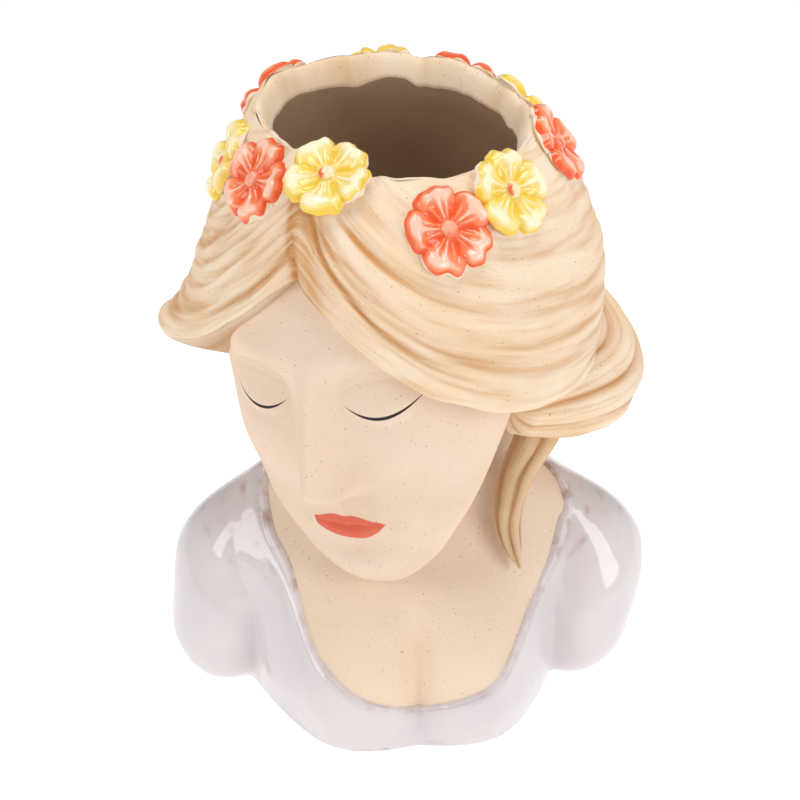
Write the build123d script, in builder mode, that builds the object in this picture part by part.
from build123d import *
import os
from math import asin, cos, pi, radians, sin, sqrt

os.makedirs("parts", exist_ok=True)

# A ceramic head planter: a bust in a scoop-necked blouse whose head is the pot.
# Millimetres and degrees. The base stands on Z = 0 and the bust faces -Y.

# Clay
wall = 6.0  # thickness of the cast clay
floor_thickness = 8.0
overrun = 2.0  # how far a cutting tool runs past what it cuts

# Blouse and chest
torso_turn = 6.0  # the chest turns a little towards +X
torso_height = 90.0  # base to the root of the neck
chest_width = 114.0
front_reach = 58.0  # axis to the front of the chest
back_reach = 46.0  # axis to the back
blouse_relief = 1.2  # how far the blouse stands proud of the skin
bust_swell = 9.0  # how far each side of the bust stands out of the chest
arm_offset = 60.0  # axis to the centre of each upper arm
arm_shift = 2.6  # both arms sit this far towards +X
arm_forward = 11.0  # how far the stumps come forward
arm_slew = 4.2  # the right arm comes further forward than the left by twice this
arm_width = 39.0
arm_depth = 48.0
arm_foot = 3.0  # height of the rounded stump over the base
arm_top = 78.0
neckline_width = 108.0
neckline_height = 16.0  # lowest point of the scoop over the base
neckline_shift = 3.0  # the scoop sits this far towards +X
neckline_back = 6.0  # the scoop starts this far behind the axis
collar_depth = 30.0  # skin that shows behind the neck
collar_height = 58.0
drain_diameter = 12.0

# Neck
neck_width = 54.0
neck_depth = 44.0
neck_bore = 34.0
neck_seam = 94.0  # height where the head is luted to the chest
neck_top = 122.0
neck_set_back = 8.0
neck_lean = 6.0  # how far the neck comes forward on the way up

# Head
head_turn = -26.0  # the face turns towards -X
head_bow = 8.0
head_tilt = 10.0  # the crown leans towards -X
head_height = 155.0
head_width = 104.0
face_reach = 56.0  # head centre to the face
skull_reach = 55.0  # head centre to the back of the skull
head_centre_height = 142.0
head_forward = 6.5
nose_width = 17.0
nose_length = 34.0
nose_reach = 14.0
mouth_width = 26.0
lip_height = 8.0
lip_reach = 3.5
mouth_drop = 48.0  # eye line to the mouth
eye_width = 21.0  # a fifth of the face
lid_height = 14.0
lid_reach = 2.2

# Hair and pot
parting_turn = -37.0
rim_height = 203.0
rim_width = 88.0
rim_depth = 78.0
rim_dip = 2.5  # the rim sinks a little beside the parting
rim_dip_turn = 45.0
lip_width = 5.0
lip_drop = 7.5
hair_reach = 78.0  # axis to the widest sweep of hair over the temples
hair_core = 20.0  # inner edge of the hair sections, inside the pot
strand_count = 6
strand_bulge = 1.7
underside_drop = 9.0  # the hair's lower face falls this much towards the head
pot_width = 93.0
pot_depth = 85.0
pot_foot = 116.0  # where the pot narrows to the neck
mouth_depth = 24.0  # rim to where the mouth's straight wall runs out in the belly

# Chignon, a twisted roll of hair round the nape
roll_distance = 60.0  # axis to the middle of the roll
roll_height = 110.5
roll_width = 43.0
roll_thickness = 48.0
roll_half_sweep = 66.0
roll_twist = 40.0  # turn of the strands from the middle of the roll to its ends
roll_strand_count = 8
roll_strand_bulge = 3.8

# Side lock in front of the shoulder
lock_width = 11.0
lock_thickness = 14.0
lock_offset = 47.0  # axis to the lock, sideways
lock_forward = 33.0  # axis to the tip, forwards
lock_top = 118.0
lock_tip = 55.0

# Flowers
petal_count = 5
petal_radius = 5.8
petal_offset = 7.2
petal_thickness = 3.4
petal_edge = 1.1
vein_length = 5.0
vein_width = 1.2
vein_depth = 0.9
button_radius = 3.0
button_height = 1.6  # above the petals
button_edge = 1.2
root_radius = 5.5
root_length = 5.0  # clay behind the petals, cut to the hair it sits on

# Frames
torso_plane = Plane.XY.rotated((0, 0, torso_turn))
torso_front = Plane(
    origin=torso_plane.from_local_coords((0, neckline_back, 0)),
    x_dir=torso_plane.x_dir,
    z_dir=-torso_plane.y_dir,
)
hair_plane = Plane.XY.rotated((0, 0, parting_turn))
face_plane = Plane.XY.rotated((0, 0, head_turn))
head_plane = Plane(
    origin=face_plane.from_local_coords((0, -head_forward, head_centre_height)),
    x_dir=face_plane.x_dir,
)
head_plane = head_plane.rotated((head_bow, 0, 0)).rotated((0, -head_tilt, 0))

# Torso sections as shares: height, half width, front reach, back reach, bust swell
torso_section_shares = (
    (0.00, 0.88, 0.96, 0.93, 0.72),
    (0.22, 0.95, 1.00, 1.00, 0.90),
    (0.48, 1.06, 0.84, 1.00, 0.50),
    (0.70, 1.19, 0.54, 0.90, 0.00),
    (0.86, 0.94, 0.35, 0.76, 0.00),
    (1.00, 0.52, 0.30, 0.66, 0.00),
)
# Arm sections as shares: height, offset from the axis, forward, half width, half depth
arm_section_shares = (
    (0.00, 1.00, 1.00, 0.55, 0.55),
    (0.10, 1.00, 1.00, 0.86, 0.86),
    (0.38, 1.00, 0.82, 1.00, 1.00),
    (0.66, 0.96, 0.55, 1.00, 0.95),
    (0.88, 0.86, 0.27, 0.86, 0.78),
    (1.00, 0.70, 0.00, 0.50, 0.50),
)
# The scoop's side points as shares: half width, rise
scoop_shares = (0.86, 0.44)
torso_point_count = 12  # points round a torso section, the bust on those beside the front one


def torso_core(inset, bottom):
    """The chest and bust without the arms, drawn in by the inset, from a bottom height upwards."""
    with BuildPart() as core:
        for height_share, width_share, front_share, back_share, swell_share in torso_section_shares:
            half_width = chest_width / 2 * width_share - inset
            front = front_reach * front_share - inset
            back = back_reach * back_share - inset
            points = []
            for i in range(torso_point_count):
                turn = 2 * pi * i / torso_point_count
                swell = bust_swell * swell_share * (i in (1, torso_point_count - 1))
                reach = (front if cos(turn) > 0 else back) + swell
                points.append((half_width * sin(turn), -reach * cos(turn)))
            with BuildSketch(torso_plane.offset(max(torso_height * height_share, bottom))):
                with BuildLine():
                    Spline(points, periodic=True)
                make_face()
        loft()
    return core.part


def arm(side, inset):
    """One upper arm, ending in a rounded stump."""
    foot = arm_foot + inset
    with BuildPart() as upper_arm:
        for height_share, out_share, forward_share, width_share, depth_share in arm_section_shares:
            across = side * arm_offset * out_share + arm_shift
            forward = arm_forward * forward_share + side * arm_slew
            with BuildSketch(torso_plane.offset(foot + (arm_top - inset - foot) * height_share)):
                with Locations((across, -forward)):
                    Ellipse(arm_width / 2 * width_share - inset, arm_depth / 2 * depth_share - inset)
        loft()
    return upper_arm.part


def spheroid(plane, radius, reach):
    """An ellipse turned about the plane's local Y axis, with its reach along that axis."""
    with BuildPart() as turned:
        with BuildSketch(plane):
            Ellipse(radius, reach)
            with Locations((-radius, 0)):
                Rectangle(2 * radius, 3 * reach, mode=Mode.SUBTRACT)
        revolve(axis=Axis(plane.origin, plane.y_dir))
    return turned.part


def torso_form(inset, bottom):
    """The whole torso with its arms, drawn in by the inset."""
    with BuildPart() as form:
        add(torso_core(inset, bottom))
        for side in (-1, 1):
            add(arm(side, inset))
    return form.part


def neck_form(width, depth, bottom, top):
    """The neck between two heights, leaning forward on the way up."""
    with BuildPart() as neck_part:
        for height in (bottom, top):
            climb_share = (height - neck_seam) / (neck_top - neck_seam)
            with BuildSketch(Plane.XY.offset(height)):
                with Locations((0, neck_set_back - neck_lean * climb_share)):
                    Ellipse(width / 2, depth / 2)
        loft()
    return neck_part.part


torso_hollow = torso_form(wall, floor_thickness)

# The scoop of the neckline, cut through the front, and the collar round the neck
with BuildPart() as neckline:
    half = neckline_width / 2
    side_out = half * scoop_shares[0]
    side_height = neckline_height + (torso_height - neckline_height) * scoop_shares[1]
    with BuildSketch(torso_front):
        with BuildLine():
            scoop = Spline(
                (neckline_shift - half, torso_height),
                (neckline_shift - side_out, side_height),
                (neckline_shift, neckline_height),
                (neckline_shift + side_out, side_height),
                (neckline_shift + half, torso_height),
            )
            Polyline(
                scoop @ 1,
                (neckline_shift + half, rim_height),
                (neckline_shift - half, rim_height),
                scoop @ 0,
            )
        make_face()
    extrude(amount=neckline_back + front_reach + bust_swell + overrun)
    with BuildSketch(torso_plane.offset(collar_height)):
        with Locations((neckline_shift, neckline_back)):
            Ellipse(half, collar_depth)
    extrude(amount=rim_height - collar_height)

# Blouse: the torso's shell with its floor, open inside the neckline
with BuildPart() as blouse:
    add(torso_form(0, 0))
    add(torso_hollow, mode=Mode.SUBTRACT)
    add(neckline.part, mode=Mode.SUBTRACT)
    with Locations((0, 0, floor_thickness / 2)):
        Hole(drain_diameter / 2, depth=floor_thickness)

# Chest: the skin inside the neckline and the stub of the neck
with BuildPart() as chest:
    add(torso_form(blouse_relief, floor_thickness))
    add(torso_hollow, mode=Mode.SUBTRACT)
    add(neckline.part, mode=Mode.INTERSECT)
    add(neck_form(neck_width, neck_depth, torso_height - wall, neck_seam))
    add(neck_form(neck_bore, neck_bore, torso_height - 2 * wall, neck_seam + overrun), mode=Mode.SUBTRACT)


def rim_point(turn):
    """Radius and height of the rim at a turn from the parting."""
    across, along = rim_width / 2, rim_depth / 2
    radius = across * along / sqrt((across * cos(turn)) ** 2 + (along * sin(turn)) ** 2)
    return radius, rim_height - rim_dip * max(cos(turn - radians(rim_dip_turn)), 0) ** 4


def outward_plane(turn):
    """An upright plane through the pot's axis: local X runs outwards and local Y up."""
    outward = hair_plane.x_dir * sin(turn) - hair_plane.y_dir * cos(turn)
    return Plane(origin=hair_plane.origin, x_dir=outward, z_dir=outward.cross(hair_plane.z_dir))


# Pot sections as shares: height from the pot's foot to the rim, half width, half depth
pot_section_shares = (
    (0.00, 0.36, 0.36),
    (0.16, 0.68, 0.66),
    (0.40, 0.92, 0.92),
    (0.62, 1.00, 1.00),
    (0.76, 0.93, 0.92),
    (0.86, 0.66, 0.62),
)
# The pot inside the hair: its belly and, above it, the mouth inside the lip
with BuildPart() as pot:
    for height_share, width_share, depth_share in pot_section_shares:
        with BuildSketch(hair_plane.offset(pot_foot + (rim_height - pot_foot) * height_share)):
            Ellipse(pot_width / 2 * width_share, pot_depth / 2 * depth_share)
    loft()
    with BuildSketch(hair_plane.offset(rim_height - mouth_depth)):
        Ellipse(rim_width / 2 - lip_width, rim_depth / 2 - lip_width)
    extrude(amount=mouth_depth + overrun)

# Hair sections as shares: turn from the parting, lower edge height, edge reach, belly reach
hair_left_shares = (
    (0.00, 0.847, 0.795, 0.712),
    (0.10, 0.753, 0.850, 0.759),
    (0.20, 0.680, 0.930, 0.795),
    (0.30, 0.637, 1.000, 0.820),
    (0.39, 0.613, 0.974, 0.820),
    (0.54, 0.586, 0.872, 0.815),
    (0.76, 0.567, 0.731, 0.795),
    (1.00, 0.560, 0.667, 0.769),
)
hair_right_shares = (
    (0.00, 0.847, 0.795, 0.712),
    (0.10, 0.818, 0.830, 0.744),
    (0.25, 0.724, 0.905, 0.800),
    (0.42, 0.670, 0.917, 0.820),
    (0.54, 0.626, 0.846, 0.815),
    (0.76, 0.576, 0.718, 0.795),
    (1.00, 0.560, 0.667, 0.769),
)


def hair_half(side, section_shares):
    """Half of the hair, swept from the parting to the nape in scalloped strands."""
    with BuildPart() as half_hair:
        for turn_share, height_share, edge_share, belly_share in section_shares:
            turn = side * radians(180 * turn_share)
            rim_radius, rim_top = rim_point(turn)
            edge_radius, edge_height = hair_reach * edge_share, rim_height * height_share
            lip_foot = rim_top - lip_drop * (rim_radius - hair_core) / lip_width
            seams = []
            for i in range(strand_count + 1):
                t = i / strand_count
                bow = hair_reach * belly_share * 4 * t * (1 - t)
                radius = rim_radius * (1 - t) * (1 - 2 * t) + bow + edge_radius * t * (2 * t - 1)
                seams.append(Vector(radius, rim_top + (edge_height - rim_top) * t))
            with BuildSketch(outward_plane(turn)):
                with BuildLine():
                    for start, stop in zip(seams, seams[1:]):
                        along = (stop - start).normalized()
                        crest = (start + stop) / 2 + Vector(-along.Y, along.X) * strand_bulge
                        ThreePointArc(start, crest, stop)
                    underside = (hair_core, edge_height - underside_drop)
                    Polyline(seams[-1], underside, (hair_core, lip_foot), seams[0])
                make_face()
        loft()
        add(pot.part, mode=Mode.SUBTRACT)
    return half_hair.part


with BuildPart() as hair_left:
    add(hair_half(-1, hair_left_shares))

with BuildPart() as hair_right:
    add(hair_half(1, hair_right_shares))

# Skull sections as shares: height from the eye line, half width, front reach, back reach
skull_section_shares = (
    (-0.97, 0.08, 0.92, -0.87),
    (-0.93, 0.24, 0.98, -0.85),
    (-0.85, 0.42, 0.99, -0.80),
    (-0.62, 0.69, 0.98, -0.52),
    (-0.32, 0.87, 1.00, 0.22),
    (0.00, 0.96, 0.99, 0.87),
    (0.16, 0.98, 0.95, 0.94),
    (0.32, 0.97, 0.88, 0.98),
    (0.62, 0.83, 0.68, 0.90),
)
# Nose sections as shares: length below the eye line, half width, reach
nose_section_shares = (
    (0.00, 0.50, 0.34),
    (0.34, 0.56, 0.64),
    (0.70, 0.78, 1.00),
    (0.88, 1.00, 0.92),
    (1.02, 0.74, 0.30),
)


def skull_form(section_shares, inset):
    """The head over a run of its sections, drawn in by the inset."""
    with BuildPart() as skull_part:
        for height_share, width_share, front_share, back_share in section_shares:
            front = face_reach * front_share - inset
            back = skull_reach * back_share - inset
            with BuildSketch(head_plane.offset(head_height / 2 * height_share)):
                with Locations((0, (back - front) / 2)):
                    Ellipse(head_width / 2 * width_share - inset, (front + back) / 2)
        loft()
    return skull_part.part


def face_point(across, height, depth):
    """A plane sunk in the face, across and up from between the eyes, its local Y along the skin."""
    slant = asin(2 * across / head_width)
    centre = head_plane.from_local_coords((across, depth - face_reach * cos(slant), height))
    along_skin = head_plane.x_dir * cos(slant) + head_plane.y_dir * sin(slant)
    return Plane(origin=centre, x_dir=along_skin.cross(head_plane.z_dir), z_dir=head_plane.z_dir)


with BuildPart() as nose:
    for length_share, width_share, reach_share in nose_section_shares:
        with BuildSketch(head_plane.offset(-nose_length * length_share)):
            with Locations((0, -face_reach)):
                Ellipse(nose_width / 2 * width_share, nose_reach * reach_share)
    loft()

# Head: the face and the upper neck, hollow behind a wall of clay above a solid chin
with BuildPart() as head:
    add(skull_form(skull_section_shares, 0))
    add(neck_form(neck_width, neck_depth, neck_seam, neck_top))
    add(nose.part)
    for side in (-1, 1):
        lid_plane = face_point(side * eye_width, 0, lid_height / 2 - lid_reach)
        add(spheroid(lid_plane, lid_height / 2, eye_width / 2))
    add(spheroid(face_point(0, -mouth_drop, lip_height / 2 - lip_reach), lip_height / 2, mouth_width / 2))
    add(skull_form(skull_section_shares[3:], wall), mode=Mode.SUBTRACT)
    add(pot.part, mode=Mode.SUBTRACT)
    add(neck_form(neck_bore, neck_bore, torso_height - 2 * wall, neck_top), mode=Mode.SUBTRACT)
    for neighbour in (hair_left, hair_right):
        add(neighbour.part, mode=Mode.SUBTRACT)
    for offcut in head.solids().sort_by(SortBy.VOLUME)[:-1]:
        add(offcut, mode=Mode.SUBTRACT)

# Roll sections as shares: sweep from the middle of the nape, size
roll_section_shares = (
    (-1.00, 0.30),
    (-0.86, 0.74),
    (-0.48, 0.97),
    (0.00, 1.00),
    (0.48, 0.97),
    (0.86, 0.74),
    (1.00, 0.30),
)
# Chignon: strands twisted into a roll, seated against the hair, the neck and the collar
with BuildPart() as chignon:
    for sweep_share, size_share in roll_section_shares:
        seams = []
        for i in range(roll_strand_count + 1):
            angle = 2 * pi * i / roll_strand_count + radians(roll_twist * sweep_share)
            out = roll_width / 2 * size_share * cos(angle)
            rise = roll_thickness / 2 * size_share * sin(angle)
            seams.append(Vector(roll_distance + out, roll_height + rise))
        with BuildSketch(outward_plane(pi + radians(roll_half_sweep * sweep_share))):
            with BuildLine():
                for start, stop in zip(seams, seams[1:]):
                    along = (stop - start).normalized()
                    crest = (start + stop) / 2 + Vector(along.Y, -along.X) * roll_strand_bulge * size_share
                    ThreePointArc(start, crest, stop)
            make_face()
    loft()
    for neighbour in (hair_left, hair_right, head, chest, blouse):
        add(neighbour.part, mode=Mode.SUBTRACT)

# Lock sections as shares: height from the tip, offset, forward reach, size
lock_section_shares = (
    (1.00, 0.90, 0.10, 0.80),
    (0.72, 0.98, 0.40, 1.00),
    (0.45, 0.90, 0.60, 0.95),
    (0.25, 0.74, 0.70, 0.75),
    (0.08, 0.76, 0.90, 0.45),
    (0.00, 0.82, 1.00, 0.20),
)
# Side lock: a loose strand from behind the ear down to the neckline
with BuildPart() as side_lock:
    for height_share, offset_share, forward_share, size_share in lock_section_shares:
        with BuildSketch(Plane.XY.offset(lock_tip + (lock_top - lock_tip) * height_share)):
            with Locations((lock_offset * offset_share, -lock_forward * forward_share)):
                Ellipse(lock_width / 2 * size_share, lock_thickness / 2 * size_share)
    loft()
    for neighbour in (hair_left, hair_right, head, chest, blouse, chignon):
        add(neighbour.part, mode=Mode.SUBTRACT)

# Flowers: turn from the parting and lean in degrees, then drop below the rim in shares of the petal offset
flower_place_shares = (
    (-56, 36, 1.74),
    (-24, 38, 1.60),
    (10, 36, 0.45),
    (52, 35, 1.70),
    (80, 38, 0.95),
    (124, 38, 1.32),
    (157, 38, 1.25),
    (189, 38, 1.18),
    (222, 38, 1.18),
    (266, 38, 1.32),
)
flower_out_share = 0.9  # the hair falls outwards by this share of the drop


def flower(turn, lean, drop):
    """A pressed flower of veined petals round a button, cut to the hair it sits on."""
    radius, top = rim_point(turn)
    section = outward_plane(turn)
    centre = section.from_local_coords((radius + drop * flower_out_share, top - drop, 0))
    facing = section.x_dir * cos(radians(lean)) + section.y_dir * sin(radians(lean))
    plane = Plane(origin=centre, x_dir=section.z_dir, z_dir=facing)
    with BuildPart() as sprig:
        with BuildSketch(plane):
            Circle(petal_offset)
            with PolarLocations(petal_offset, petal_count):
                Circle(petal_radius)
        extrude(amount=petal_thickness)
        fillet(sprig.faces().sort_by(Axis(centre, facing))[-1].edges(), petal_edge)
        with BuildSketch(plane.offset(petal_thickness)):
            with PolarLocations(petal_offset, petal_count):
                SlotOverall(vein_length, vein_width)
        extrude(amount=-vein_depth, mode=Mode.SUBTRACT)
        with BuildSketch(plane):
            Circle(button_radius)
        extrude(amount=petal_thickness + button_height)
        fillet(sprig.faces().sort_by(Axis(centre, facing))[-1].edges(), button_edge)
        with BuildSketch(plane):
            Circle(root_radius)
        extrude(amount=-root_length, taper=10)
        for neighbour in (hair_left, hair_right, pot):
            add(neighbour.part, mode=Mode.SUBTRACT)
        for offcut in sprig.solids().sort_by(SortBy.VOLUME)[:-1]:
            add(offcut, mode=Mode.SUBTRACT)
    return sprig.part


pieces = {
    "blouse": blouse.part,
    "chest": chest.part,
    "head": head.part,
    "hair_left": hair_left.part,
    "hair_right": hair_right.part,
    "chignon": chignon.part,
    "side_lock": side_lock.part,
}
for number, (turn, lean, drop_share) in enumerate(flower_place_shares, start=1):
    pieces[f"flower_{number:02d}"] = flower(radians(turn), lean, petal_offset * drop_share)
for name, piece in pieces.items():
    piece.label = name
    export_step(piece, f"parts/{name}.step")
